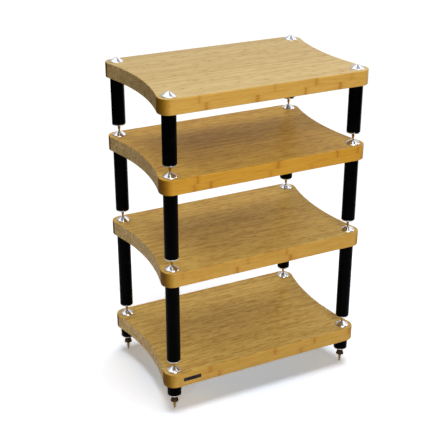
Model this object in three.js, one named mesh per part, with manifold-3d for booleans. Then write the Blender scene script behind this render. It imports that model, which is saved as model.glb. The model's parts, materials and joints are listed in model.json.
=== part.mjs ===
// Audio equipment rack: four bamboo shelves standing on one another's corner shoes.
// Each shelf carries its own four leg tubes underneath, and each leg ends in a brass spike that
// stands in a turned shoe on the shelf below. The bottom shelf has short feet with levelling spikes.
// Millimetres, +Z up, the front faces -Y, origin on the floor under the middle of the rack.

import * as THREE from 'three';
import { mergeVertices } from 'three/addons/utils/BufferGeometryUtils.js';
import Module from 'manifold-3d';

const wasm = await Module();
wasm.setup();

// Shelves
const shelfWidth = 600;
const shelfDepth = 403;
const shelfThickness = 41;
const cornerRadius = 30;
const sideHollow = 23;
const edgeEase = 2;

// Leg tubes: the length of the tubes under the second, third and top shelf
const legLengths = { lower: 233, upper: 183, top: 133 };
const legRadius = 18.75;
const legWall = 2.5;
const legInsert = 16;
const legPlug = 14;
const rimThickness = 2.5;

// Feet under the bottom shelf
const footRadius = 19.25;
const footLength = 33.5;

// Corner shoes, as wide as the legs, and their studs
const shoeRadius = legRadius;
const shoeRim = 1.5;
const shoeHeight = 10.5;
const shoeCrown = 4.6;
const dimpleMouth = 3.6;
const dimpleFloor = 1.8;
const dimpleDepth = 2.5;
const studRadius = 4;
const studGrip = 12;

// Spikes: how far each one reaches below the end of its tube
const tierSpikeReach = 26;
const floorSpikeReach = 51.5;
const spikeRoot = 3.8;
const spikePoint = 1;
const tierPointLength = 12;
const floorPointLength = 16;
const tierSpikeGrip = 12;

// Levelling collar on each floor spike, and how far the spike can be screwed up into its foot
const collarTopRadius = 8;
const collarBaseRadius = 11.2;
const collarHeight = 12;
const collarRise = 26;
const levelUp = 7.5;
const levelEnd = 1;

// Blank plate let into the front edge of the bottom shelf
const plateWidth = 52;
const plateHeight = 11;
const plateThickness = 1;
const plateFromLeg = 42;
const plateCorner = 1.2;

// Fits and small edges
const fitGap = 0.3;
const boreRadius = studRadius + fitGap;
const shelfBoreRadius = studRadius + 2 * fitGap;
const threadChamfer = 1;
const overrun = 5;

// Facets round a turned piece and along the curves of the outline
const roundSides = 20;
const slimSides = 12;
const cornerSteps = 8;
const hollowSteps = 14;

const bamboo = new THREE.MeshStandardMaterial({ color: 0xcfa565, roughness: 0.5, metalness: 0 });
const blackTube = new THREE.MeshStandardMaterial({ color: 0x0c0c0d, roughness: 0.35, metalness: 0.2 });
const chrome = new THREE.MeshStandardMaterial({ color: 0xe4e7ec, roughness: 0.12, metalness: 1 });
const brass = new THREE.MeshStandardMaterial({ color: 0xb98f3a, roughness: 0.25, metalness: 1 });
const darkBronze = new THREE.MeshStandardMaterial({ color: 0x1c130b, roughness: 0.3, metalness: 0.8 });
const darkPlate = new THREE.MeshStandardMaterial({ color: 0x2b2b33, roughness: 0.4, metalness: 0.6 });

const legX = shelfWidth / 2 - cornerRadius;
const legY = shelfDepth / 2 - cornerRadius;
const plateX = plateFromLeg - legX;
const corners = {
  front_left: [-legX, -legY],
  front_right: [legX, -legY],
  back_left: [-legX, legY],
  back_right: [legX, legY],
};

// A closed triangle mesh as a solid that can be cut
function toSolid(geometry) {
  const bare = geometry.index ? geometry.toNonIndexed() : geometry.clone();
  bare.deleteAttribute('normal');
  bare.deleteAttribute('uv');
  const merged = mergeVertices(bare);
  return new wasm.Manifold(new wasm.Mesh({
    numProp: 3,
    vertProperties: new Float32Array(merged.attributes.position.array),
    triVerts: new Uint32Array(merged.index.array),
  }));
}

function fromSolid(solid) {
  const mesh = solid.getMesh();
  const geometry = new THREE.BufferGeometry();
  geometry.setAttribute('position', new THREE.BufferAttribute(new Float32Array(mesh.vertProperties), 3));
  geometry.setIndex(new THREE.BufferAttribute(new Uint32Array(mesh.triVerts), 1));
  geometry.computeVertexNormals();
  return geometry;
}

// A piece turned about +Z from [radius, height] points
function turned(points, sides) {
  const profile = points.map(([radius, height]) => new THREE.Vector2(radius, height));
  const geometry = new THREE.LatheGeometry(profile, sides);
  geometry.rotateX(Math.PI / 2);
  return geometry;
}

// A turned ring: the profile closes on itself round the bore
function turnedRing(points, sides) {
  return turned([...points, points[0]], sides);
}

// Outline of a shelf: round corners about the leg axes, straight front and back, hollow sides.
// The side arc touches both corner arcs, which fixes its radius.
function shelfOutline(inset) {
  const corner = cornerRadius - inset;
  const middle = shelfWidth / 2 - sideHollow;
  const offset = legX - middle;
  const sideRadius = (legY * legY + offset * offset - cornerRadius * cornerRadius)
    / (2 * (cornerRadius + offset));
  const sideCentre = middle + sideRadius;
  const turn = Math.atan2(legY, sideCentre - legX);
  const points = [];
  const addArc = (x, y, radius, from, to, steps) => {
    for (let i = 0; i < steps; i += 1) {
      const angle = from + ((to - from) * i) / steps;
      points.push(new THREE.Vector2(x + radius * Math.cos(angle), y + radius * Math.sin(angle)));
    }
  };
  addArc(legX, -legY, corner, -Math.PI / 2, turn, cornerSteps);
  addArc(sideCentre, 0, sideRadius + inset, Math.PI + turn, Math.PI - turn, hollowSteps);
  addArc(legX, legY, corner, -turn, Math.PI / 2, cornerSteps);
  addArc(-legX, legY, corner, Math.PI / 2, Math.PI + turn, cornerSteps);
  addArc(-sideCentre, 0, sideRadius + inset, turn, -turn, hollowSteps);
  addArc(-legX, -legY, corner, Math.PI - turn, Math.PI * 1.5, cornerSteps);
  return new THREE.Shape(points);
}

// A shelf whose top face is at z = 0, with a bore for each shoe's stud
function shelfSolid() {
  const board = new THREE.ExtrudeGeometry(shelfOutline(edgeEase), {
    depth: shelfThickness - 2 * edgeEase,
    bevelEnabled: true,
    bevelThickness: edgeEase,
    bevelSize: edgeEase,
    bevelSegments: 2,
  });
  board.translate(0, 0, edgeEase - shelfThickness);
  let solid = toSolid(board);
  for (const [x, y] of Object.values(corners)) {
    const bore = new THREE.CylinderGeometry(
      shelfBoreRadius, shelfBoreRadius, shelfThickness + 2 * overrun, roundSides);
    bore.rotateX(Math.PI / 2);
    bore.translate(x, y, -shelfThickness / 2);
    solid = solid.subtract(toSolid(bore));
  }
  return solid;
}

// The blank plate, with its back on y = 0 and its face towards -Y, and the pocket that takes it
function plateBlock(margin, front, back) {
  const halfWidth = plateWidth / 2 + margin;
  const halfHeight = plateHeight / 2 + margin;
  const outline = new THREE.Shape();
  outline.moveTo(plateCorner - halfWidth, -halfHeight);
  outline.lineTo(halfWidth - plateCorner, -halfHeight);
  outline.lineTo(halfWidth, plateCorner - halfHeight);
  outline.lineTo(halfWidth, halfHeight - plateCorner);
  outline.lineTo(halfWidth - plateCorner, halfHeight);
  outline.lineTo(plateCorner - halfWidth, halfHeight);
  outline.lineTo(-halfWidth, halfHeight - plateCorner);
  outline.lineTo(-halfWidth, plateCorner - halfHeight);
  outline.closePath();
  const block = new THREE.ExtrudeGeometry(outline, { depth: front + back, bevelEnabled: false });
  block.translate(0, 0, -back);
  block.rotateX(Math.PI / 2);
  return block;
}

function bottomShelfSolid() {
  const pocket = plateBlock(fitGap, plateThickness + overrun, 0);
  pocket.translate(plateX, plateThickness - shelfDepth / 2, -shelfThickness / 2);
  return shelfSolid().subtract(toSolid(pocket));
}

// A shoe whose base is at z = 0: a low cone with a dimple for the spike, and its stud below
function shoeGeometry() {
  const studEnd = -(shelfThickness + studGrip);
  return turned([
    [0, studEnd],
    [studRadius - threadChamfer, studEnd],
    [studRadius, studEnd + threadChamfer],
    [studRadius, 0],
    [shoeRadius, 0],
    [shoeRadius, shoeRim],
    [shoeCrown, shoeHeight],
    [dimpleMouth, shoeHeight],
    [dimpleFloor, shoeHeight - dimpleDepth],
    [0, shoeHeight - dimpleDepth],
  ], roundSides);
}

// A leg tube with its threaded insert and end plug welded in; its top face is at z = 0.
// The bores through both leave the hollow open.
function legGeometry(length) {
  const inside = legRadius - legWall;
  return turnedRing([
    [boreRadius, -length - rimThickness],
    [legRadius, -length - rimThickness],
    [legRadius, 0],
    [boreRadius, 0],
    [boreRadius, -legInsert],
    [inside, -legInsert],
    [inside, legPlug - length],
    [boreRadius, legPlug - length],
  ], roundSides);
}

// A foot sleeve bored right through; its top face is at z = 0
function footGeometry() {
  return turnedRing([
    [boreRadius, -footLength - rimThickness],
    [footRadius, -footLength - rimThickness],
    [footRadius, 0],
    [boreRadius, 0],
  ], roundSides);
}

// A brass spike with the end of its tube at z = 0: the taper's points from the tip up, then the thread
function spikeGeometry(taper, grip) {
  const shoulder = taper.at(-1)[1];
  return turned([
    [0, taper[0][1]],
    ...taper,
    [studRadius, shoulder],
    [studRadius, grip - threadChamfer],
    [studRadius - threadChamfer, grip],
    [0, grip],
  ], slimSides);
}

// The collar, with its base at z = 0
function collarGeometry() {
  return turnedRing([
    [boreRadius, 0],
    [collarBaseRadius - threadChamfer, 0],
    [collarBaseRadius, threadChamfer],
    [collarTopRadius, collarHeight],
    [boreRadius, collarHeight],
  ], roundSides);
}

function addMesh(parent, name, geometry, material, x, y, z) {
  const mesh = new THREE.Mesh(geometry, material);
  mesh.name = name;
  mesh.position.set(x, y, z);
  parent.add(mesh);
}

const rack = new THREE.Group();
const shoe = shoeGeometry();
const board = fromSolid(shelfSolid());
const underside = floorSpikeReach + footLength;

// Bottom shelf with its shoes, feet, levelling spikes and plate. Each group's z = 0 is its shelf's top.
const base = new THREE.Group();
base.position.z = underside + shelfThickness;
rack.add(base);
addMesh(base, 'shelf_bottom', fromSolid(bottomShelfSolid()), bamboo, 0, 0, 0);
const foot = footGeometry();
const floorGrip = footLength - studGrip - levelUp - levelEnd;
const floorSpike = spikeGeometry([
  [spikePoint, -floorSpikeReach],
  [spikeRoot, floorPointLength - floorSpikeReach],
  [spikeRoot, collarRise - floorSpikeReach],
], floorGrip);
const collar = collarGeometry();
const footEnd = -(shelfThickness + footLength);
for (const [corner, [x, y]] of Object.entries(corners)) {
  addMesh(base, `shoe_bottom_${corner}`, shoe, chrome, x, y, 0);
  addMesh(base, `foot_${corner}`, foot, blackTube, x, y, -shelfThickness);
  addMesh(base, `floor_spike_${corner}`, floorSpike, brass, x, y, footEnd);
  addMesh(base, `collar_${corner}`, collar, darkBronze, x, y, footEnd - floorSpikeReach + collarRise);
}
addMesh(base, 'badge_plate', plateBlock(0, plateThickness, 0), darkPlate,
  plateX, plateThickness - shelfDepth / 2, -shelfThickness / 2);

// The three shelves above, each with its shoes, legs and spikes
const standOff = shoeHeight - dimpleDepth + tierSpikeReach;
const tierSpike = spikeGeometry([
  [spikePoint, -tierSpikeReach],
  [spikeRoot, tierPointLength - tierSpikeReach],
  [spikeRoot, -rimThickness],
], tierSpikeGrip);
let level = base.position.z;
for (const [tier, length] of Object.entries(legLengths)) {
  level += standOff + length + shelfThickness;
  const group = new THREE.Group();
  group.position.z = level;
  rack.add(group);
  addMesh(group, `shelf_${tier}`, board, bamboo, 0, 0, 0);
  const leg = legGeometry(length);
  for (const [corner, [x, y]] of Object.entries(corners)) {
    addMesh(group, `shoe_${tier}_${corner}`, shoe, chrome, x, y, 0);
    addMesh(group, `leg_${tier}_${corner}`, leg, blackTube, x, y, -shelfThickness);
    addMesh(group, `spike_${tier}_${corner}`, tierSpike, brass, x, y, -shelfThickness - length);
  }
}

export default rack;
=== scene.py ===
import json
import math

import bmesh
import bpy
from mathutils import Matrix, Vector

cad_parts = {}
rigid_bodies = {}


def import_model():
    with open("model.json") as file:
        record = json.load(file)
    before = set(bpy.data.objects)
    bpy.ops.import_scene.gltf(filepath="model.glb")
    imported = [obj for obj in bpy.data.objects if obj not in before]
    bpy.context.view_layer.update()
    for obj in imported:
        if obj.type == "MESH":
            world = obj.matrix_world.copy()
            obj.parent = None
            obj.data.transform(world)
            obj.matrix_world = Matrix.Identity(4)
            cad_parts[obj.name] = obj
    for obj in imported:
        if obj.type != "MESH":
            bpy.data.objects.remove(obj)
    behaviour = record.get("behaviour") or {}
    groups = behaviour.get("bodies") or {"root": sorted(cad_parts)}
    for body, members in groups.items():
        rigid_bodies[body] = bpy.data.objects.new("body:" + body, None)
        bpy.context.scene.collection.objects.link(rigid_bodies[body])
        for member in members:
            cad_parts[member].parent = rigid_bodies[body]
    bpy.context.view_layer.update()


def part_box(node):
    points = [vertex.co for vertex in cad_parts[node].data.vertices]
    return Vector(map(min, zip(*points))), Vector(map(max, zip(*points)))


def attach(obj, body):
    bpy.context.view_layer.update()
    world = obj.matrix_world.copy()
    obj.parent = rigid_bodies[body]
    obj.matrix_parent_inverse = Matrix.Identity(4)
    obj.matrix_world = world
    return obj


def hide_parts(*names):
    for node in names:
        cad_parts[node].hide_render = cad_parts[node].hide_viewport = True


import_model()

# Places and sizes, read from the frame in metres

corners = ("front_left", "front_right", "back_left", "back_right")
upper_tiers = ("lower", "upper", "top")
tiers = ("bottom",) + upper_tiers
body_of_tier = {"bottom": "base", **{tier: f"tier_{tier}" for tier in upper_tiers}}


def middle(node):
    low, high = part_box(node)
    return (low + high) / 2


def radius(node):
    low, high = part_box(node)
    return (high.x - low.x) / 2


board_low, board_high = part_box("shelf_top")
board_half_width = board_high.x
board_half_depth = board_high.y
board_thickness = board_high.z - board_low.z
board_top = {tier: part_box(f"shelf_{tier}")[1].z for tier in tiers}
leg_x = middle("leg_top_back_right").x
leg_y = middle("leg_top_back_right").y
corner_radius = board_half_width - leg_x
side_hollow = 0.023
edge_round = 0.002

leg_radius = radius("leg_top_back_right")
leg_wall = 0.0025
leg_insert = 0.016
leg_plug = 0.014
rim_thickness = 0.0025
foot_radius = radius("foot_back_right")

shoe_radius = radius("shoe_top_back_right")
shoe_rim = 0.0015
shoe_bevel = 0.0008
shoe_bevel_rise = shoe_bevel * 0.6
shoe_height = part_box("shoe_top_back_right")[1].z - board_top["top"]
shoe_crown = 0.0046
dimple_mouth = 0.0036
dimple_floor = 0.0018
dimple_depth = 0.0025
stud_radius = 0.004
bore_radius = 0.0043
board_bore_radius = 0.0046

spike_root = 0.0038
spike_point = 0.001
tier_point_length = 0.012
floor_point_length = 0.016
thread_chamfer = 0.001
thread_pitch = 0.00125
thread_depth = 0.0006

collar_top_radius = 0.008
collar_flutes = 40
flute_depth = 0.0004
uncut_radius = bore_radius * 0.75

plate_low, plate_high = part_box("badge_plate")
plate_centre = middle("badge_plate")
plate_half_width = (plate_high.x - plate_low.x) / 2
plate_half_height = (plate_high.z - plate_low.z) / 2
plate_gap = 0.0003
plate_corner = 0.0012
plate_border = 0.0008
plate_recess = 0.00015
plate_edge = 0.0002
plate_edge_share = 0.3

leg_axes = {
    "front_left": (-leg_x, -leg_y),
    "front_right": (leg_x, -leg_y),
    "back_left": (-leg_x, leg_y),
    "back_right": (leg_x, leg_y),
}

# Fineness of the meshes: facets and rows, how turned corners are rounded, and in degrees which edges
# are shaded smooth and which corners are nearly straight

tube_sides = 64
shoe_sides = 96
spike_sides = 48
bore_sides = 48
collar_sides = 240
collar_rows = 14
thread_rows_a_turn = 8
spike_rounding = 0.0003
tube_rounding = 0.0004
sleeve_rounding = 0.0005
largest_rounded_share = 0.45
smooth_angle = 35
plate_smooth_angle = 30
straight_angle = 172

# Camera, at the photograph's viewing angle

camera_azimuth = math.radians(-26.4448)
camera_elevation = math.radians(24.3986)
camera_distance = 2.759
camera_target = Vector((-0.0482, 0.0240, 0.4629))
focal_pixels = 974.82
image_pixels = 430
sensor_width = 36
clip_distance = 100


def direction(azimuth, elevation):
    """Unit vector from the rack towards a place seen at that azimuth and elevation."""
    return Vector((
        math.sin(azimuth) * math.cos(elevation),
        -math.cos(azimuth) * math.cos(elevation),
        math.sin(elevation),
    ))


def add_camera():
    data = bpy.data.cameras.new("camera")
    data.sensor_width = sensor_width
    data.lens = focal_pixels / image_pixels * sensor_width
    data.clip_end = clip_distance
    camera = bpy.data.objects.new("camera", data)
    bpy.context.scene.collection.objects.link(camera)
    towards = direction(camera_azimuth, camera_elevation)
    camera.location = camera_target + towards * camera_distance
    camera.rotation_euler = towards.to_track_quat("Z", "Y").to_euler()
    bpy.context.scene.camera = camera


# Nodes: short ways to place and link them

def feed(tree, node, inputs):
    """Sets or links a node's sockets. inputs maps a socket's name or number to a value or to the socket
    that feeds it."""
    for key, value in inputs.items():
        if isinstance(value, bpy.types.NodeSocket):
            tree.links.new(value, node.inputs[key])
        else:
            node.inputs[key].default_value = value


def place(tree, kind, inputs=None, **settings):
    """Adds a node with those settings and inputs."""
    made = tree.nodes.new(kind)
    for key, value in settings.items():
        setattr(made, key, value)
    feed(tree, made, inputs or {})
    return made


def spaced(values):
    """The same values with spaces in their names in place of underscores, as sockets have them."""
    return {key.replace("_", " "): value for key, value in values.items()}


def calc(tree, operation, *values):
    return place(tree, "ShaderNodeMath", dict(enumerate(values)), operation=operation).outputs[0]


def ease(tree, value, start, end, low=0.0, high=1.0):
    """value mapped smoothly from the range start to end onto low to high."""
    inputs = {"Value": value, "From Min": start, "From Max": end, "To Min": low, "To Max": high}
    made = place(tree, "ShaderNodeMapRange", inputs, interpolation_type="SMOOTHSTEP")
    return made.outputs["Result"]


def stretched(tree, vector, scale):
    return place(tree, "ShaderNodeMapping", {"Vector": vector, "Scale": scale}).outputs[0]


def noise(tree, vector, scale=1.0, detail=2.0, roughness=0.5):
    inputs = {"Vector": vector, "Scale": scale, "Detail": detail, "Roughness": roughness}
    return place(tree, "ShaderNodeTexNoise", inputs).outputs[0]


def blend_colours(tree, share, first, second, kind="MIX"):
    inputs = {0: share, 6: first, 7: second}
    return place(tree, "ShaderNodeMix", inputs, data_type="RGBA", blend_type=kind).outputs[2]


def ramp_colours(tree, value, first, last, *between):
    """Colours along a ramp from (place, colour) stops."""
    ramp = place(tree, "ShaderNodeValToRGB", {"Fac": value})
    stops = ramp.color_ramp.elements
    stops[0].position, stops[0].color = first
    stops[1].position, stops[1].color = last
    for along, colour in between:
        stops.new(along).color = colour
    return ramp.outputs["Color"]


def new_group(name, tree_type, inputs, outputs):
    """An empty node group with its named sockets: (name, kind, default) and (name, kind)."""
    tree = bpy.data.node_groups.new(name, tree_type)
    for socket_name, kind, default in inputs:
        socket = tree.interface.new_socket(socket_name, in_out="INPUT", socket_type=kind)
        if default is not None:
            socket.default_value = default
    for socket_name, kind in outputs:
        tree.interface.new_socket(socket_name, in_out="OUTPUT", socket_type=kind)
    return tree, tree.nodes.new("NodeGroupInput"), tree.nodes.new("NodeGroupOutput")


FLOAT, VECTOR, COLOUR = "NodeSocketFloat", "NodeSocketVector", "NodeSocketColor"
GEOMETRY, MATERIAL = "NodeSocketGeometry", "NodeSocketMaterial"


# Bamboo: colours in linear light, how fine the fibres are along x, y and z, the width of the glue
# lines as a share of a strip or layer, the knots' sizes, and what differs from board to board

strip_dark = (0.40, 0.195, 0.030, 1)
strip_middle = (0.58, 0.328, 0.066, 1)
strip_light = (0.70, 0.42, 0.095, 1)
amber_tint = (1.0, 0.82, 0.25, 1)
wide_tint = (0.95, 1.05, 0.75, 1)
# Painted sheen, partly the wood's own tone: the pale tan that Paleness blends the wide faces towards
sheen_pale_dark = (0.72, 0.54, 0.235, 1)
sheen_pale_light = (0.94, 0.78, 0.42, 1)
knot_brown = (0.38, 0.13, 0.012, 1)
strip_line_brown = (0.28, 0.12, 0.015, 1)
layer_line_brown = (0.30, 0.14, 0.02, 1)
slant_brown = (0.09, 0.024, 0.001, 1)
slant_tint = (1.0, 0.95, 0.0, 1)
cut_light = (0.98, 0.71, 0.32, 1)
cut_dark = (0.29, 0.145, 0.037, 1)
cut_line_brown = (0.25, 0.13, 0.04, 1)
# Painted shade: the black that the hollow sides are darkened towards, more on the higher boards
cut_shade = (0.0, 0.0, 0.0, 1)

fine_fibres = (16, 900, 900)
dashed_fibres = (34, 260, 260)
broad_fibres = (9, 85, 85)
ragged_fibres = (60, 420, 420)
fibre_bundles = (40, 850, 850)
cut_mottling = 300
strip_line_width = 0.06
layer_line_width = 0.025
knot_raggedness = 0.005
knot_core = (0.007, 0.001)
knot_halo = (0.022, 0.003)
grain_depth = 0.00012

bamboo_shift = {"bottom": 0.71, "lower": 2.37, "upper": 4.12, "top": 6.53}
# Paleness is strongest on the top board, where it is mostly a painted sheen
bamboo_look = {
    # End_Darkness is painted shade on the hollow sides, more on the higher boards
    "bottom": {"Paleness": 0.2, "Amber": 0.0, "End_Darkness": 0.0, "Streakiness": 1.3},
    "lower": {"Paleness": 0.16, "Amber": 0.1, "End_Darkness": 0.08, "Streakiness": 1.3},
    "upper": {"Paleness": 0.06, "Amber": 0.7, "End_Darkness": 0.2, "Streakiness": 1.3},
    "top": {"Paleness": 0.74, "Amber": 0.0, "End_Darkness": 0.22, "Streakiness": 0.6},
}


def bamboo_group():
    """Bamboo board glued from upright strips that run along x, in two layers. Position is in metres,
    with z = 0 at the board's top face. End Grain is 1 where the fibres meet the surface end on, Cut End
    is 1 on the sawn and sanded hollow sides, and Wide Face is 1 on top and below, where Paleness paints
    a
    paler tone: partly the wood's own, and on the top board mostly a painted sheen.
    Amber makes a board's tone more orange, End Darkness paints shade on its hollow sides, more on the
    higher boards, and Streakiness the streaks of its wide faces stronger."""
    tree, given, result = new_group("bamboo_strips", "ShaderNodeTree", [
        ("Position", VECTOR, None),
        ("Strip Thickness", FLOAT, 0.0062),
        ("Strip Height", FLOAT, 0.0205),
        ("Knot Spacing", FLOAT, 0.13),
        ("End Grain", FLOAT, 0.0),
        ("Cut End", FLOAT, 0.0),
        ("Wide Face", FLOAT, 0.0),
        ("Paleness", FLOAT, 0.2),
        ("Amber", FLOAT, 0.0),
        ("End Darkness", FLOAT, 0.0),
        ("Streakiness", FLOAT, 1.0),
    ], [("Color", COLOUR), ("Roughness", FLOAT), ("Height", FLOAT)])
    position = given.outputs["Position"]
    parts = place(tree, "ShaderNodeSeparateXYZ", {0: position})
    along, across, up = parts.outputs
    strip = calc(tree, "DIVIDE", across, given.outputs["Strip Thickness"])
    layer = calc(tree, "DIVIDE", up, given.outputs["Strip Height"])
    strip_number = calc(tree, "FLOOR", strip)
    layer_number = calc(tree, "FLOOR", layer)

    def chances(*numbers):
        """Three even chances that stay the same all over one cell."""
        cell = place(tree, "ShaderNodeCombineXYZ", dict(enumerate(numbers)))
        made = place(tree, "ShaderNodeTexWhiteNoise", {"Vector": cell.outputs[0]})
        return place(tree, "ShaderNodeSeparateColor", {0: made.outputs["Color"]}).outputs

    own = chances(strip_number, layer_number)

    # Fibres: long streaks that are dots where the board is cut across
    fine = noise(tree, stretched(tree, position, fine_fibres), detail=3)
    dashes = noise(tree, stretched(tree, position, dashed_fibres), detail=3, roughness=0.6)
    broad = noise(tree, stretched(tree, position, broad_fibres), detail=3, roughness=0.6)

    # Knots: each strip has its own, at uneven distances, and some hardly show
    spacing = given.outputs["Knot Spacing"]
    run = calc(tree, "MULTIPLY_ADD", own[1], 9.0, calc(tree, "DIVIDE", along, spacing))
    knot = chances(strip_number, layer_number, calc(tree, "FLOOR", run))
    away = calc(tree, "SUBTRACT", calc(tree, "FRACT", run), ease(tree, knot[0], 0.0, 1.0, 0.15, 0.85))
    wide = given.outputs["Wide Face"]
    ragged = noise(tree, stretched(tree, position, ragged_fibres))
    ragged = calc(tree, "MULTIPLY_ADD", ragged, 2.0, -1.0)
    ragged = calc(tree, "MULTIPLY", ragged, knot_raggedness)
    distance = calc(tree, "ABSOLUTE", calc(tree, "MULTIPLY_ADD", away, spacing, ragged))
    distance = calc(tree, "MULTIPLY", distance, ease(tree, knot[2], 0.0, 1.0, 0.7, 1.5))
    core = ease(tree, distance, *knot_core, 0.0, 0.7)
    halo = ease(tree, distance, *knot_halo, 0.0, 0.25)
    shown = ease(tree, knot[1], calc(tree, "MULTIPLY_ADD", wide, 0.5, -0.1), 0.9)
    mark = calc(tree, "MULTIPLY", calc(tree, "ADD", core, halo), shown)
    mark = calc(tree, "MULTIPLY", mark, calc(tree, "MULTIPLY_ADD", wide, -0.05, 0.9))

    def line(value, width):
        return ease(tree, calc(tree, "PINGPONG", value, 0.5), width, 0.0)

    strip_line = line(strip, strip_line_width)
    layer_line = line(layer, layer_line_width)

    streaks = calc(tree, "MULTIPLY_ADD", broad, 0.5, calc(tree, "MULTIPLY_ADD", dashes, 0.9, -0.7))
    contrast = calc(tree, "MULTIPLY", wide, 1.5)
    contrast = calc(tree, "MULTIPLY_ADD", contrast, given.outputs["Streakiness"], 0.25)
    differing = calc(tree, "MULTIPLY_ADD", wide, 0.25, 0.03)
    tone = calc(tree, "MULTIPLY_ADD", calc(tree, "SUBTRACT", own[0], 0.5), differing, 0.57)
    tone = calc(tree, "MULTIPLY_ADD", streaks, contrast, tone)
    tone = calc(tree, "MULTIPLY_ADD", calc(tree, "SUBTRACT", fine, 0.5), 0.4, tone)
    colour = ramp_colours(tree, tone, (0.34, strip_dark), (0.80, strip_light), (0.56, strip_middle))
    # Painted sheen: wide faces paled towards a light tan by Paleness, partly the wood's own tone, and on
    # the top board mostly standing in for a reflection of bright surroundings
    pale = calc(tree, "MULTIPLY", wide, given.outputs["Paleness"])
    warmth = calc(tree, "MULTIPLY", given.outputs["Amber"], calc(tree, "MULTIPLY_ADD", wide, -0.5, 1.0))
    colour = blend_colours(tree, warmth, colour, amber_tint, "MULTIPLY")
    colour = blend_colours(tree, wide, colour, wide_tint, "MULTIPLY")
    sheen_pale = blend_colours(tree, ease(tree, tone, 0.3, 0.85), sheen_pale_dark, sheen_pale_light)
    colour = blend_colours(tree, pale, colour, sheen_pale)
    for mask, strength, brown in (
        (mark, 0.78, knot_brown),
        (strip_line, 0.12, strip_line_brown),
        (layer_line, 0.35, layer_line_brown),
    ):
        colour = blend_colours(tree, calc(tree, "MULTIPLY", mask, strength), colour, brown)

    # Fibres that leave the surface at a slant look darker, most of all where a bundle of them ends
    bundles = stretched(tree, position, fibre_bundles)
    dots = place(tree, "ShaderNodeTexVoronoi", {"Vector": bundles, "Scale": 1.0})
    dotted = ease(tree, dots.outputs["Distance"], 0.65, 0.15)
    slant = ease(tree, given.outputs["End Grain"], 0.1, 1.0, 0.0, 0.83)
    slant = calc(tree, "MULTIPLY", slant, calc(tree, "MULTIPLY_ADD", dotted, 0.3, 0.88))
    colour = blend_colours(tree, slant, colour, slant_brown)
    colour = blend_colours(tree, slant, colour, slant_tint, "MULTIPLY")

    # Cut ends: a mottled grey brown
    cut = calc(tree, "MULTIPLY_ADD", own[2], 0.14, calc(tree, "MULTIPLY_ADD", dotted, 0.36, -0.35))
    mottling = noise(tree, position, scale=cut_mottling, detail=2, roughness=0.7)
    cut = calc(tree, "MULTIPLY_ADD", mottling, 1.6, cut)
    end_colour = ramp_colours(tree, cut, (0.3, cut_light), (0.95, cut_dark))
    line_share = calc(tree, "MULTIPLY", layer_line, 0.5)
    end_colour = blend_colours(tree, line_share, end_colour, cut_line_brown)
    # Painted shade: the hollow sides darkened by End Darkness, more on the higher boards
    end_colour = blend_colours(tree, given.outputs["End Darkness"], end_colour, cut_shade)
    colour = blend_colours(tree, given.outputs["Cut End"], colour, end_colour)

    rough = calc(tree, "MULTIPLY_ADD", fine, 0.12, 0.30)
    rough = calc(tree, "MULTIPLY_ADD", given.outputs["End Grain"], 0.15, rough)
    height = calc(tree, "MULTIPLY_ADD", mark, -0.4, calc(tree, "MULTIPLY", fine, 0.35))
    height = calc(tree, "MULTIPLY_ADD", calc(tree, "MAXIMUM", strip_line, layer_line), -0.3, height)
    feed(tree, result, {"Color": colour, "Roughness": rough, "Height": height})
    return tree


# Turned metals: light tone, dark tone, and the roughness where they are smoothest and roughest

metal_looks = {
    "polished_chrome": ((0.80, 0.815, 0.86, 1), (0.70, 0.715, 0.77, 1), 0.05, 0.14),
    "bright_rim": ((0.80, 0.80, 0.80, 1), (0.66, 0.66, 0.66, 1), 0.15, 0.3),
    "turned_brass": ((0.56, 0.36, 0.055, 1), (0.42, 0.24, 0.028, 1), 0.3, 0.42),
    "dark_bronze": ((0.11, 0.065, 0.025, 1), (0.03, 0.018, 0.008, 1), 0.12, 0.3),
}
turning_depth = 0.00002
smear_scale = 160

# The paint of the black tubes, and the badge plate

paint_black = (0.0004, 0.0004, 0.0005, 1)
paint_dusty = (0.0020, 0.0020, 0.0019, 1)
peel_scale = 1400
peel_depth = 0.00005
dust_scale = 35

plate_light = (0.045, 0.042, 0.05, 1)
plate_dark = (0.025, 0.023, 0.03, 1)
drift_scale = 60
brushed_marks = (60, 4000, 4000)
brushing_depth = 0.00002


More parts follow.
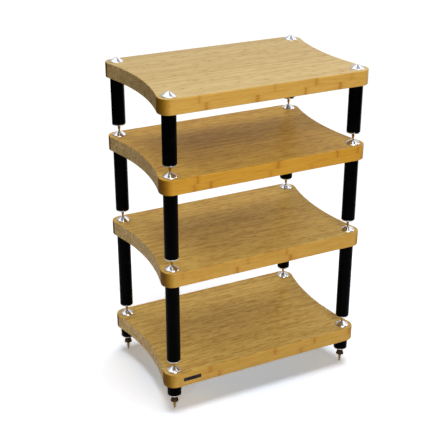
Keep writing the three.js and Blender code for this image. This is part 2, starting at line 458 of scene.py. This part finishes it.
def turning_group():
    """Fine rings left by the lathe round the nearest leg axis, and soft smears of handling."""
    tree, given, result = new_group("turning_marks", "ShaderNodeTree", [
        ("Position", VECTOR, None),
        ("Axis X", FLOAT, leg_x),
        ("Axis Y", FLOAT, leg_y),
        ("Ring Spacing", FLOAT, 0.0005),
        ("Smoothest", FLOAT, 0.08),
        ("Roughest", FLOAT, 0.2),
    ], [("Roughness", FLOAT), ("Height", FLOAT), ("Smear", FLOAT)])
    parts = place(tree, "ShaderNodeSeparateXYZ", {0: given.outputs["Position"]})
    aside = calc(tree, "SUBTRACT", calc(tree, "ABSOLUTE", parts.outputs[0]), given.outputs["Axis X"])
    back = calc(tree, "SUBTRACT", calc(tree, "ABSOLUTE", parts.outputs[1]), given.outputs["Axis Y"])
    out = calc(tree, "SQRT", calc(tree, "ADD", calc(tree, "MULTIPLY", aside, aside),
                                  calc(tree, "MULTIPLY", back, back)))
    path = calc(tree, "SUBTRACT", out, parts.outputs[2])
    path = calc(tree, "DIVIDE", path, given.outputs["Ring Spacing"])
    ring = place(tree, "ShaderNodeCombineXYZ", {0: path}).outputs[0]
    rings = noise(tree, ring, detail=3, roughness=0.7)
    smear = noise(tree, given.outputs["Position"], scale=smear_scale, detail=3)
    mixed = calc(tree, "MULTIPLY_ADD", rings, 0.5, calc(tree, "MULTIPLY", smear, 0.5))
    rough = place(tree, "ShaderNodeMapRange", {
        "Value": mixed, "From Min": 0.3, "From Max": 0.7,
        "To Min": given.outputs["Smoothest"], "To Max": given.outputs["Roughest"],
    }).outputs["Result"]
    feed(tree, result, {"Roughness": rough, "Height": rings, "Smear": smear})
    return tree


def new_material(name, **sockets):
    """A material with a Principled shader whose plain sockets are set here."""
    material = bpy.data.materials.new(name)
    material.use_nodes = True
    tree = material.node_tree
    shader = tree.nodes["Principled BSDF"]
    feed(tree, shader, spaced(sockets))
    position = place(tree, "ShaderNodeTexCoord").outputs["Object"]
    return material, tree, shader, position


def add_bump(tree, shader, height, distance, strength=1.0):
    inputs = {"Height": height, "Distance": distance, "Strength": strength}
    bump = place(tree, "ShaderNodeBump", inputs)
    feed(tree, shader, {"Normal": bump.outputs["Normal"]})


def place_group(tree, group, **inputs):
    return place(tree, "ShaderNodeGroup", spaced(inputs), node_tree=group)


def bamboo_material(tier, group):
    """The bamboo of one tier's board: the same strips, cut from another length of them."""
    material, tree, shader, position = new_material(f"bamboo_{tier}", IOR=1.45, Specular_IOR_Level=0.12)
    own_place = place(tree, "ShaderNodeMapping", {
        "Vector": position,
        "Location": (bamboo_shift[tier], 0.0, -board_top[tier]),
    }).outputs[0]
    facing = {
        name: place(tree, "ShaderNodeAttribute", attribute_name=name.lower()).outputs["Fac"]
        for name in ("End_Grain", "Cut_End", "Wide_Face")
    }
    bamboo = place_group(tree, group, Position=own_place, **facing, **bamboo_look[tier])
    feed(tree, shader, {"Base Color": bamboo.outputs["Color"], "Roughness": bamboo.outputs["Roughness"]})
    add_bump(tree, shader, bamboo.outputs["Height"], grain_depth)
    return material


def metal_material(name, group, light, dark, smoothest, roughest):
    """Turned metal. Its colour drifts between light and dark, and its rings follow the lathe."""
    material, tree, shader, position = new_material(name, Metallic=1.0)
    turning = place_group(tree, group, Position=position, Smoothest=smoothest, Roughest=roughest)
    share = ease(tree, turning.outputs["Smear"], 0.35, 0.65)
    colour = blend_colours(tree, share, light, dark)
    feed(tree, shader, {"Base Color": colour, "Roughness": turning.outputs["Roughness"]})
    add_bump(tree, shader, turning.outputs["Height"], turning_depth, 0.5)
    return material


def black_material():
    """Satin black powder coat: a fine orange peel under an even colour with a little dust on it."""
    material, tree, shader, position = new_material("black_tube", Specular_IOR_Level=0.025)
    peel = noise(tree, position, scale=peel_scale, detail=2)
    dust = noise(tree, position, scale=dust_scale, detail=4, roughness=0.65)
    colour = blend_colours(tree, ease(tree, dust, 0.45, 0.8), paint_black, paint_dusty)
    rough = calc(tree, "MULTIPLY_ADD", dust, 0.14, 0.24)
    feed(tree, shader, {"Base Color": colour, "Roughness": rough})
    add_bump(tree, shader, peel, peel_depth, 0.4)
    return material


def plate_material():
    """Dark anodised aluminium, brushed along x."""
    material, tree, shader, position = new_material("badge_plate", Metallic=1.0)
    brushed = noise(tree, stretched(tree, position, brushed_marks), detail=2)
    drift = noise(tree, position, scale=drift_scale, detail=2)
    colour = blend_colours(tree, ease(tree, drift, 0.35, 0.65), plate_light, plate_dark)
    rough = calc(tree, "MULTIPLY_ADD", brushed, 0.25, 0.2)
    feed(tree, shader, {"Base Color": colour, "Roughness": rough})
    add_bump(tree, shader, brushed, brushing_depth, 0.5)
    return material


# Meshes

def added(name, mesh):
    piece = bpy.data.objects.new(name, mesh)
    bpy.context.scene.collection.objects.link(piece)
    return piece


def smoothed(piece, sharp_angle):
    """The object with edges under the angle smooth, and normals that follow the larger faces."""
    piece.data.shade_smooth()
    piece.data.set_sharp_from_angle(angle=math.radians(sharp_angle))
    weighted = piece.modifiers.new("weighted", "WEIGHTED_NORMAL")
    weighted.keep_sharp = True
    return plain(piece)


def finished(name, mesh, sharp_angle=smooth_angle):
    return smoothed(added(name, mesh), sharp_angle)


def plain(piece):
    """The same object with what its modifiers make as its plain mesh."""
    bpy.context.view_layer.update()
    seen = piece.evaluated_get(bpy.context.evaluated_depsgraph_get())
    mesh = bpy.data.meshes.new_from_object(seen, preserve_all_data_layers=True,
                                           depsgraph=bpy.context.evaluated_depsgraph_get())
    old = piece.data
    piece.modifiers.clear()
    piece.data = mesh
    mesh.name = piece.name
    bpy.data.meshes.remove(old)
    return piece


def as_mesh(name, shape):
    bmesh.ops.recalc_face_normals(shape, faces=shape.faces)
    mesh = bpy.data.meshes.new(name)
    shape.to_mesh(mesh)
    shape.free()
    return mesh


def softened(points, round_radius, closed=False, steps=4):
    """A turned profile with its corners rounded, apart from its two ends when it is open."""
    count = len(points)
    result = []
    for i, point in enumerate(points):
        if not closed and i in (0, count - 1):
            result.append(point)
            continue
        corner = Vector(point)
        before = Vector(points[i - 1]) - corner
        after = Vector(points[(i + 1) % count]) - corner
        turn = before.angle(after)
        if turn > math.radians(straight_angle):
            result.append(point)
            continue
        longest = largest_rounded_share * min(before.length, after.length)
        reach = min(round_radius / math.tan(turn / 2), longest)
        start = corner + before.normalized() * reach
        end = corner + after.normalized() * reach
        for k in range(steps + 1):
            t = k / steps
            result.append(tuple(start * (1 - t) ** 2 + corner * (2 * t * (1 - t)) + end * t ** 2))
    return result


def turned(name, points, sides=tube_sides, closed=False):
    """A mesh turned about z from (radius, height) points, with u round it and v along the profile."""
    rows = points + [points[0]] if closed else points
    lengths = [0.0]
    for (r0, z0), (r1, z1) in zip(rows, rows[1:]):
        lengths.append(lengths[-1] + math.hypot(r1 - r0, z1 - z0))
    shape = bmesh.new()
    rings = []
    for r, z in points:
        if r == 0:
            rings.append([shape.verts.new((0, 0, z))] * sides)
        else:
            rings.append([shape.verts.new((r * math.cos(a), r * math.sin(a), z))
                          for a in (math.tau * j / sides for j in range(sides))])
    if closed:
        rings.append(rings[0])
    uv = shape.loops.layers.uv.new("turning")
    for i, (lower, upper) in enumerate(zip(rings, rings[1:])):
        for j in range(sides):
            k = (j + 1) % sides
            around = [(lower[j], j, i), (lower[k], j + 1, i)]
            around += [(upper[k], j + 1, i + 1), (upper[j], j, i + 1)]
            if lower[j] is lower[k]:
                around.pop(1)
            elif upper[j] is upper[k]:
                around.pop(3)
            face = shape.faces.new([vert for vert, _, _ in around])
            for loop, (_, turn, row) in zip(face.loops, around):
                loop[uv].uv = (turn / sides, lengths[row] / lengths[-1])
    return as_mesh(name, shape)


def board_outline(inset, corner_steps=20, hollow_steps=72):
    """(x, y, how far the edge faces sideways, 1 on a hollow side) round a board, counter-clockwise from
    the front right."""
    corner = corner_radius - inset
    waist = board_half_width - side_hollow
    offset = leg_x - waist
    side_radius = (leg_y ** 2 + offset ** 2 - corner_radius ** 2) / (2 * (corner_radius + offset))
    side_centre = waist + side_radius
    turn = math.atan2(leg_y, side_centre - leg_x)
    points = []

    def arc(x, y, r, start, end, steps, hollow=0.0):
        for i in range(steps):
            angle = start + (end - start) * i / steps
            across, back = math.cos(angle), math.sin(angle)
            points.append((x + r * across, y + r * back, abs(across), hollow))

    quarter = math.pi / 2
    arc(leg_x, -leg_y, corner, -quarter, turn, corner_steps)
    arc(side_centre, 0, side_radius + inset, math.pi + turn, math.pi - turn, hollow_steps, 1.0)
    arc(leg_x, leg_y, corner, -turn, quarter, corner_steps)
    points.append((leg_x, leg_y + corner, 0.0, 0.0))
    arc(-leg_x, leg_y, corner, quarter, math.pi + turn, corner_steps)
    arc(-side_centre, 0, side_radius + inset, turn, -turn, hollow_steps, 1.0)
    arc(-leg_x, -leg_y, corner, math.pi - turn, math.pi + quarter, corner_steps)
    points.append((-leg_x, -leg_y - corner, 0.0, 0.0))
    return points


def board_mesh(name, top, round_steps=6):
    """A board with rounded edges and a bore at each leg axis, its top face at that height."""
    edge = []
    for k in range(round_steps + 1):
        angle = k / round_steps * math.pi / 2
        edge.append((edge_round * (1 - math.sin(angle)), -edge_round * (1 - math.cos(angle))))
    edge += [(inset, -board_thickness - depth) for inset, depth in reversed(edge)]
    shape = bmesh.new()
    grain = shape.verts.layers.float.new("end_grain")
    cut = shape.verts.layers.float.new("cut_end")
    wide = shape.verts.layers.float.new("wide_face")

    def ring(points, z, facing=0.0):
        verts = []
        for x, y, sideways, hollow in points:
            vert = shape.verts.new((x, y, top + z))
            vert[grain] = sideways * facing
            vert[cut] = hollow * facing
            vert[wide] = 1 - facing
            verts.append(vert)
        return verts

    def skin(upper, lower):
        for j in range(len(upper)):
            k = (j + 1) % len(upper)
            shape.faces.new((upper[j], lower[j], lower[k], upper[k]))

    rings = []
    for k, (inset, z) in enumerate(edge):
        facing = math.sin(min(k, len(edge) - 1 - k, round_steps) / round_steps * math.pi / 2)
        rings.append(ring(board_outline(inset), z, facing))
    for upper, lower in zip(rings, rings[1:]):
        skin(upper, lower)
    ends = [(rings[0], []), (rings[-1], [])]
    for x, y in leg_axes.values():
        circle = [(x + board_bore_radius * math.cos(a), y + board_bore_radius * math.sin(a), 0.0, 0.0)
                  for a in (math.tau * j / bore_sides for j in range(bore_sides))]
        bore = [ring(circle, 0.0), ring(circle, -board_thickness)]
        skin(*bore)
        for (_, holes), loop in zip(ends, bore):
            holes.append(loop)
    for outer, holes in ends:
        edges = [shape.edges.get((loop[j - 1], loop[j]))
                 for loop in [outer] + holes for j in range(len(loop))]
        bmesh.ops.triangle_fill(shape, edges=edges, use_beauty=True)
    return as_mesh(name, shape)


def plate_outline(half_width, half_height, corner, steps=6):
    points = []
    for quarter, (sx, sz) in enumerate(((1, 1), (-1, 1), (-1, -1), (1, -1))):
        for k in range(steps + 1):
            angle = (quarter + k / steps) * math.pi / 2
            points.append((sx * (half_width - corner) + corner * math.cos(angle),
                           sz * (half_height - corner) + corner * math.sin(angle)))
    return points


def layered_plate(name, layers):
    """A flat piece facing -y, at the badge plate's middle, from (half width, half height, corner, y)
    layers, front to back."""
    shape = bmesh.new()
    rings = []
    for half_width, half_height, corner, y in layers:
        rings.append([shape.verts.new((plate_centre.x + x, y, plate_centre.z + z))
                      for x, z in plate_outline(half_width, half_height, corner)])
    for front, back in zip(rings, rings[1:]):
        for j in range(len(front)):
            k = (j + 1) % len(front)
            shape.faces.new((front[j], front[k], back[k], back[j]))
    shape.faces.new(rings[0])
    shape.faces.new(rings[-1])
    return as_mesh(name, shape)


# Geometry Nodes: one turned piece set at the four legs, and ripples cut round a turned piece

def give_pieces(tree, given, result, node):
    """The tree's result: what the node makes, as a real mesh with the given material."""
    real = place(tree, "GeometryNodeRealizeInstances", {"Geometry": node.outputs[0]})
    painted = place(tree, "GeometryNodeSetMaterial", {
        "Geometry": real.outputs["Geometry"], "Material": given.outputs["Material"],
    })
    feed(tree, result, {"Pieces": painted.outputs["Geometry"]})


def corner_set_tree():
    tree, given, result = new_group("set_at_four_legs", "GeometryNodeTree", [
        ("Piece", GEOMETRY, None),
        ("Leg Spacing X", FLOAT, 0.5),
        ("Leg Spacing Y", FLOAT, 0.3),
        ("Height", FLOAT, 0.0),
        ("Seed", "NodeSocketInt", 0),
        ("Material", MATERIAL, None),
    ], [("Pieces", GEOMETRY)])
    grid = place(tree, "GeometryNodeMeshGrid", {
        "Size X": given.outputs["Leg Spacing X"], "Size Y": given.outputs["Leg Spacing Y"],
        "Vertices X": 2, "Vertices Y": 2,
    })
    turn = place(tree, "FunctionNodeRandomValue", {
        "Seed": given.outputs["Seed"], "Min": (0, 0, 0), "Max": (0, 0, math.tau),
    }, data_type="FLOAT_VECTOR")
    copies = place(tree, "GeometryNodeInstanceOnPoints", {
        "Points": grid.outputs["Mesh"], "Instance": given.outputs["Piece"],
        "Rotation": turn.outputs["Value"],
    })
    lift = place(tree, "ShaderNodeCombineXYZ", {2: given.outputs["Height"]})
    raised = place(tree, "GeometryNodeTransform", {
        "Geometry": copies.outputs["Instances"], "Translation": lift.outputs[0],
    })
    give_pieces(tree, given, result, raised)
    return tree


def ripple_tree():
    """Grooves in the surface of a turned piece between two heights: Count of them round it, rising
    by Rise turns a metre, so that flutes have no rise and a screw thread has a count of one. Nothing
    nearer the axis than uncut_radius moves."""
    tree, given, result = new_group("ripples_round_an_axis", "GeometryNodeTree", [
        ("Piece", GEOMETRY, None),
        ("Count", FLOAT, 1.0),
        ("Rise", FLOAT, 0.0),
        ("Depth", FLOAT, 0.0005),
        ("Low", FLOAT, 0.0),
        ("High", FLOAT, 0.01),
        ("Fade", FLOAT, 0.0006),
        ("Shift", VECTOR, None),
        ("Material", MATERIAL, None),
    ], [("Pieces", GEOMETRY)])
    position = place(tree, "GeometryNodeInputPosition").outputs[0]
    x, y, z = place(tree, "ShaderNodeSeparateXYZ", {0: position}).outputs
    turns = calc(tree, "DIVIDE", calc(tree, "ARCTAN2", y, x), math.tau)
    phase = calc(tree, "ADD", calc(tree, "MULTIPLY", turns, given.outputs["Count"]),
                 calc(tree, "MULTIPLY", z, given.outputs["Rise"]))
    groove = calc(tree, "MULTIPLY", calc(tree, "PINGPONG", phase, 0.5), 2.0)
    above = calc(tree, "DIVIDE", calc(tree, "SUBTRACT", z, given.outputs["Low"]), given.outputs["Fade"])
    below = calc(tree, "DIVIDE", calc(tree, "SUBTRACT", given.outputs["High"], z), given.outputs["Fade"])
    inside = calc(tree, "MINIMUM", above, below)
    mask = place(tree, "ShaderNodeClamp", {"Value": inside}).outputs[0]
    out = calc(tree, "SQRT", calc(tree, "ADD", calc(tree, "MULTIPLY", x, x),
                                  calc(tree, "MULTIPLY", y, y)))
    cut = calc(tree, "MULTIPLY", calc(tree, "MULTIPLY", groove, mask), given.outputs["Depth"])
    share = calc(tree, "DIVIDE", cut, calc(tree, "MAXIMUM", out, 0.0001))
    inwards = place(tree, "ShaderNodeCombineXYZ", {
        0: calc(tree, "MULTIPLY", x, calc(tree, "MULTIPLY", share, -1.0)),
        1: calc(tree, "MULTIPLY", y, calc(tree, "MULTIPLY", share, -1.0)),
    })
    deep_enough = place(tree, "FunctionNodeCompare", {0: out, 1: uncut_radius},
                        data_type="FLOAT", operation="GREATER_THAN")
    cut_piece = place(tree, "GeometryNodeSetPosition", {
        "Geometry": given.outputs["Piece"], "Selection": deep_enough.outputs[0],
        "Offset": inwards.outputs[0],
    })
    placed = place(tree, "GeometryNodeTransform", {
        "Geometry": cut_piece.outputs["Geometry"], "Translation": given.outputs["Shift"],
    })
    give_pieces(tree, given, result, placed)
    return tree


def grown(name, mesh, tree, values):
    """An object whose mesh is what the tree makes of the given mesh with those named values."""
    piece = added(name, mesh)
    modifier = piece.modifiers.new("rule", "NODES")
    modifier.node_group = tree
    for item in tree.interface.items_tree:
        if item.in_out == "INPUT" and item.name in values:
            modifier[item.identifier] = values[item.name]
    return smoothed(plain(piece), smooth_angle)


def fit(piece, body, slot_name, *nodes):
    """The piece rides on its body in place of those CAD nodes; slot_name, the name of its finish, is not
    used.
    """
    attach(piece, body)
    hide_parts(*nodes)


# Boards

def add_boards(bamboo):
    for tier in tiers:
        mesh = board_mesh(f"board_{tier}", board_top[tier])
        mesh.materials.append(bamboo[tier])
        board = finished(f"board_{tier}", mesh)
        if tier == "bottom":
            cut_plate_pocket(board)
        fit(board, body_of_tier[tier], "bamboo", f"shelf_{tier}")


def cut_plate_pocket(board):
    outline = (plate_half_width + plate_gap, plate_half_height + plate_gap, plate_corner + plate_gap)
    front = plate_low.y - board_thickness
    mesh = layered_plate("pocket", [(*outline, front), (*outline, plate_high.y)])
    cutter = added("pocket", mesh)
    cut = board.modifiers.new("pocket", "BOOLEAN")
    cut.object = cutter
    cut.operation = "DIFFERENCE"
    cut.solver = "EXACT"
    plain(board)
    bpy.data.objects.remove(cutter)
    bpy.data.meshes.remove(mesh)


def add_plate(material):
    """The blank plate: a thin raised border round a plain field."""
    def layer(inset, y):
        corner = max(plate_corner - inset, plate_edge)
        return (plate_half_width - inset, plate_half_height - inset, corner, y)

    field = plate_border + plate_recess
    bevel = plate_edge * plate_edge_share
    mesh = layered_plate("badge_plate_blank", [
        layer(field, plate_low.y + plate_recess),
        layer(plate_border, plate_low.y),
        layer(plate_edge, plate_low.y),
        layer(bevel, plate_low.y + bevel),
        layer(0, plate_low.y + plate_edge),
        layer(0, plate_high.y),
    ])
    mesh.materials.append(material)
    plate = finished("badge_plate_blank", mesh, plate_smooth_angle)
    fit(plate, "base", "badge_plate", "badge_plate")


# Legs, feet, shoes and spikes

# Seeds of the random turns at the legs: the shoes and the tubes count from 0, the others from these
rim_seed = 10
spike_seed = 20
foot_seed = 30
foot_rim_seed = 31


def at_corners(kind):
    return [f"{kind}_{corner}" for corner in corners]


def add_leg_set(kind, tier, mesh, height, material, slot_name, tree, nodes, seed):
    """Four like pieces at the legs of one tier, as one piece of its body."""
    piece = grown(f"{kind}_{tier}", mesh, tree, {
        "Leg Spacing X": 2 * leg_x,
        "Leg Spacing Y": 2 * leg_y,
        "Height": height,
        "Seed": seed,
        "Material": material,
    })
    fit(piece, body_of_tier[tier], slot_name, *nodes)


def shoe_profile(board_underside_reach):
    return softened([
        (0, -board_underside_reach),
        (stud_radius - thread_chamfer, -board_underside_reach),
        (stud_radius, thread_chamfer - board_underside_reach),
        (stud_radius, 0),
        (shoe_radius, 0),
        (shoe_radius, shoe_rim - shoe_bevel),
        (shoe_radius - shoe_bevel, shoe_rim + shoe_bevel_rise),
        (shoe_crown, shoe_height),
        (dimple_mouth, shoe_height),
        (dimple_floor, shoe_height - dimple_depth),
        (0, shoe_height - dimple_depth),
    ], tube_rounding)


def tube_profile(length):
    inside = leg_radius - leg_wall
    return softened([
        (bore_radius, -length),
        (leg_radius, -length),
        (leg_radius, 0),
        (bore_radius, 0),
        (bore_radius, -leg_insert),
        (inside, -leg_insert),
        (inside, leg_plug - length),
        (bore_radius, leg_plug - length),
    ], tube_rounding, closed=True)


def sleeve_profile(outer, low, high):
    points = [(bore_radius, low), (outer, low), (outer, high), (bore_radius, high)]
    return softened(points, sleeve_rounding, closed=True)


def tier_spike_profile(reach, grip):
    return softened([
        (0, -reach),
        (spike_point, -reach),
        (spike_root, tier_point_length - reach),
        (spike_root, -rim_thickness),
        (stud_radius, -rim_thickness),
        (stud_radius, grip - thread_chamfer),
        (stud_radius - thread_chamfer, grip),
        (0, grip),
    ], spike_rounding)


def add_tiers(chrome, brass, black, rim):
    tree = corner_set_tree()
    for number, tier in enumerate(tiers):
        top = board_top[tier]
        shoe_low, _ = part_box(f"shoe_{tier}_front_left")
        mesh = turned("shoe", shoe_profile(top - shoe_low.z), shoe_sides)
        nodes = at_corners(f"shoe_{tier}")
        add_leg_set("shoes", tier, mesh, top, chrome, "shoe_chrome", tree, nodes, number)
    for number, tier in enumerate(upper_tiers):
        underside = board_top[tier] - board_thickness
        leg_low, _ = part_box(f"leg_{tier}_front_left")
        length = underside - leg_low.z - rim_thickness
        legs = at_corners(f"leg_{tier}")
        mesh = turned("tube", tube_profile(length), closed=True)
        add_leg_set("tubes", tier, mesh, underside, black, "black_tube", tree, legs, number)
        mesh = turned("rim", sleeve_profile(leg_radius, -length - rim_thickness, -length), closed=True)
        seed = rim_seed + number
        add_leg_set("tube_rims", tier, mesh, underside, rim, "shoe_chrome", tree, legs, seed)
        spike_low, spike_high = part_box(f"spike_{tier}_front_left")
        tube_end = underside - length
        profile = tier_spike_profile(tube_end - spike_low.z, spike_high.z - tube_end)
        mesh = turned("spike", profile, spike_sides)
        nodes = at_corners(f"spike_{tier}")
        seed = spike_seed + number
        add_leg_set("spikes", tier, mesh, tube_end, brass, "spike_brass", tree, nodes, seed)
    underside = board_top["bottom"] - board_thickness
    foot_low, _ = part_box("foot_front_left")
    feet = at_corners("foot")
    length = underside - foot_low.z - rim_thickness
    mesh = turned("foot", sleeve_profile(foot_radius, -length, 0), closed=True)
    add_leg_set("feet", "bottom", mesh, underside, black, "black_tube", tree, feet, foot_seed)
    mesh = turned("rim", sleeve_profile(foot_radius, -length - rim_thickness, -length), closed=True)
    add_leg_set("foot_rims", "bottom", mesh, underside, rim, "shoe_chrome", tree, feet, foot_rim_seed)


def floor_spike_profile(low, shoulder, high):
    """A point, and a shank from the shoulder up, in rows that are fine enough for its thread."""
    length = high - thread_chamfer - shoulder
    rows = round(length / thread_pitch * thread_rows_a_turn)
    shank = [(stud_radius, shoulder + length * k / rows) for k in range(1, rows + 1)]
    tapered = low + floor_point_length
    point = [(0, low), (spike_point, low), (spike_root, tapered), (spike_root, shoulder)]
    end = [(stud_radius - thread_chamfer, high), (0, high)]
    return softened(point, spike_rounding) + [(stud_radius, shoulder)] + shank + end


def collar_profile(low, high, base_radius):
    """The collar's section with its sloping side split into rows, so that the flutes can fade out."""
    bottom, top = (base_radius, low + thread_chamfer), (collar_top_radius, high)
    side = [tuple(a + (b - a) * k / collar_rows for a, b in zip(bottom, top))
            for k in range(1, collar_rows)]
    ring = [(bore_radius, low), (base_radius - thread_chamfer, low), bottom]
    return softened(ring + side + [top, (bore_radius, high)], spike_rounding, closed=True)


def add_levelling(brass, bronze):
    """The threaded floor spikes and the fluted collars that turn them."""
    tree = ripple_tree()
    for corner, (x, y) in leg_axes.items():
        low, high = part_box(f"floor_spike_{corner}")
        collar_low, collar_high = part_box(f"collar_{corner}")
        mesh = turned("floor_spike", floor_spike_profile(low.z, collar_low.z, high.z), spike_sides)
        spike = grown(f"floor_spike_brass_{corner}", mesh, tree, {
            "Count": 1.0,
            "Rise": 1 / thread_pitch,
            "Depth": thread_depth,
            "Low": collar_high.z,
            "High": high.z - thread_chamfer,
            "Fade": thread_pitch,
            "Shift": (x, y, 0),
            "Material": brass,
        })
        fit(spike, f"leveller_{corner}", "spike_brass", f"floor_spike_{corner}")
        profile = collar_profile(collar_low.z, collar_high.z, radius(f"collar_{corner}"))
        mesh = turned("collar", profile, collar_sides, closed=True)
        collar = grown(f"levelling_collar_{corner}", mesh, tree, {
            "Count": float(collar_flutes),
            "Depth": flute_depth,
            "Low": collar_low.z + 2 * thread_chamfer,
            "High": collar_high.z - 2 * thread_chamfer,
            "Fade": thread_chamfer,
            "Shift": (x, y, 0),
            "Material": bronze,
        })
        fit(collar, f"turner_{corner}", "collar_bronze", f"collar_{corner}")


# Floor: how bright it is, and in metres from the rack's middle where one look changes into the next.
# The camera sees it turn white nearer to the rack, by the share seen_nearer.

floor_size = 60
floor_clear_radius = 1.1
floor_white_radius = 2.2
floor_bounce = 0.75
# Painted shade: the camera sees the floor under the rack a little darker and bluer than beside it, which
# also cancels the boards' warm light in the shadow
floor_under_shade_tint = (1.84, 2.2, 2.75, 1)
floor_beside = (2.22, 2.32, 2.48, 1)
floor_white = 1.05
floor_glow = 0.3
floor_right_glow = 2.4
footprint_shift = -0.018
footprint_edge = (0.14, 0.26)
glow_radius = (0.2, 0.45)
right_glow_x = (0.5, 1.5)
right_glow_y = (-0.4, 0.2)
seen_nearer = 0.5


def add_floor():
    mesh = bpy.data.meshes.new("floor")
    half = floor_size / 2
    square = [(-half, -half, 0), (half, -half, 0), (half, half, 0), (-half, half, 0)]
    mesh.from_pydata(square, [], [(0, 1, 2, 3)])
    floor = added("floor", mesh)
    material = bpy.data.materials.new("floor_white")
    material.use_nodes = True
    tree = material.node_tree
    tree.nodes.clear()
    position = place(tree, "ShaderNodeTexCoord").outputs["Object"]
    away = place(tree, "ShaderNodeVectorMath", {0: position}, operation="LENGTH").outputs["Value"]
    seen = place(tree, "ShaderNodeLightPath").outputs["Is Camera Ray"]
    narrowed = place(tree, "ShaderNodeMapping", {
        "Vector": position,
        "Scale": (board_half_depth / board_half_width, 1, 1),
        "Location": (footprint_shift, 0, 0),
    }).outputs[0]
    outside = place(tree, "ShaderNodeVectorMath", {0: narrowed}, operation="LENGTH").outputs["Value"]
    # Painted shade under the rack: a darker, bluer tone that fades out over footprint_edge
    shown = blend_colours(tree, ease(tree, outside, *footprint_edge), floor_under_shade_tint, floor_beside)
    paint = blend_colours(tree, seen, (*[floor_bounce] * 3, 1), shown)
    lit = place(tree, "ShaderNodeBsdfDiffuse", {"Color": paint})
    across, back, _ = place(tree, "ShaderNodeSeparateXYZ", {0: position}).outputs
    unseen = ease(tree, back, *right_glow_y, 0.0, floor_right_glow)
    unseen = calc(tree, "MULTIPLY", ease(tree, across, *right_glow_x), unseen)
    white = place(tree, "ShaderNodeMix", {0: seen, 2: unseen, 3: floor_white}, data_type="FLOAT")
    glow = place(tree, "ShaderNodeEmission", {"Strength": white.outputs[0]})
    beside = calc(tree, "MULTIPLY", calc(tree, "SUBTRACT", 1.0, seen), ease(tree, away, *glow_radius))
    sheen = place(tree, "ShaderNodeEmission", {"Strength": calc(tree, "MULTIPLY", beside, floor_glow)})
    lit = place(tree, "ShaderNodeAddShader", {0: lit.outputs[0], 1: sheen.outputs[0]})
    reach = calc(tree, "MULTIPLY", away, calc(tree, "MULTIPLY_ADD", seen, seen_nearer, 1.0))
    share = ease(tree, reach, floor_clear_radius, floor_white_radius)
    mixed = place(tree, "ShaderNodeMixShader", {0: share, 1: lit.outputs[0], 2: glow.outputs[0]})
    below = place(tree, "ShaderNodeNewGeometry").outputs["Backfacing"]
    clear = place(tree, "ShaderNodeBsdfTransparent")
    one_sided = place(tree, "ShaderNodeMixShader", {0: below, 1: mixed.outputs[0], 2: clear.outputs[0]})
    place(tree, "ShaderNodeOutputMaterial", {0: one_sided.outputs[0]})
    mesh.materials.append(material)
    return floor


# Lights: azimuth and elevation in degrees, distance, width and height in metres, and brightness

light_aim = Vector((0, 0, 0.5))
softboxes = {
    "ceiling": (0, 88, 3.2, 6.0, 6.0, 0.35),
    "ceiling_left": (-90, 68, 2.85, 6.0, 2.9, 0.83),
    "ceiling_right": (90, 49, 3.1, 6.0, 1.5, 0.9),
    "key": (-5, 33, 2.4, 1.4, 1.4, 6.1),
    "right": (85, 15, 3.0, 1.4, 1.8, 3.4),
    "tier_behind": (-166, 60, 2.4, 2.4, 0.8, 5.0),
    "behind": (154, 27, 4.0, 9.0, 3.4, 0.45),
    "metal_behind": (154, 27, 4.0, 9.0, 3.4, 0.5),
    "floor_overhead": (95, 86, 2.3, 2.0, 2.0, 3.9),
    "floor_low": (-27, 7, 4.0, 4.0, 0.5, 18.0),
}
world_mirrored = 0.15


def add_softbox(name, azimuth, elevation, distance, width, height, brightness):
    """A soft panel that faces the rack. brightness is how bright it looks in a mirror."""
    data = bpy.data.lights.new(name, "AREA")
    data.shape = "RECTANGLE"
    data.size = width
    data.size_y = height
    data.energy = brightness * math.pi * width * height
    light = bpy.data.objects.new(name, data)
    bpy.context.scene.collection.objects.link(light)
    towards = direction(math.radians(azimuth), math.radians(elevation))
    light.location = light_aim + towards * distance
    light.rotation_euler = towards.to_track_quat("Z", "Y").to_euler()
    return light


def add_light(floor):
    """The softboxes. Two of them light only the floor, one only the bright metal, one only the boards
    that have another board above them, and the others all but the floor."""
    without_floor, floor_only, metal_only, covered_boards = (
        bpy.data.collections.new(name)
        for name in ("without_floor", "floor_only", "metal_only", "covered_boards"))
    without_floor.objects.link(floor)
    without_floor.collection_objects[0].light_linking.link_state = "EXCLUDE"
    floor_only.objects.link(floor)
    for piece in bpy.data.objects:
        if piece.name.startswith(("shoes", "tube_rims", "foot_rims")):
            metal_only.objects.link(piece)
        if piece.name.startswith("board") and not piece.name.endswith("top"):
            covered_boards.objects.link(piece)
    lit_by = {"floor": floor_only, "metal": metal_only, "tier": covered_boards}
    for name, values in softboxes.items():
        light = add_softbox(name, *values)
        light.light_linking.receiver_collection = lit_by.get(name.split("_")[0], without_floor)
    world = bpy.data.worlds.new("studio")
    world.use_nodes = True
    bpy.context.scene.world = world
    tree = world.node_tree
    ray = place(tree, "ShaderNodeLightPath").outputs
    mirrored = calc(tree, "MULTIPLY", ray["Is Glossy Ray"], world_mirrored)
    strength = calc(tree, "MULTIPLY_ADD", ray["Is Camera Ray"], floor_white, mirrored)
    feed(tree, tree.nodes["Background"], {"Color": (1, 1, 1, 1), "Strength": strength})
    bpy.context.scene.view_settings.view_transform = "Standard"


add_camera()
turning = turning_group()
strips = bamboo_group()
chrome, rim_metal, brass, bronze = (
    metal_material(name, turning, *look) for name, look in metal_looks.items())
black = black_material()
add_boards({tier: bamboo_material(tier, strips) for tier in tiers})
add_plate(plate_material())
add_tiers(chrome, brass, black, rim_metal)
add_levelling(brass, bronze)
add_light(add_floor())
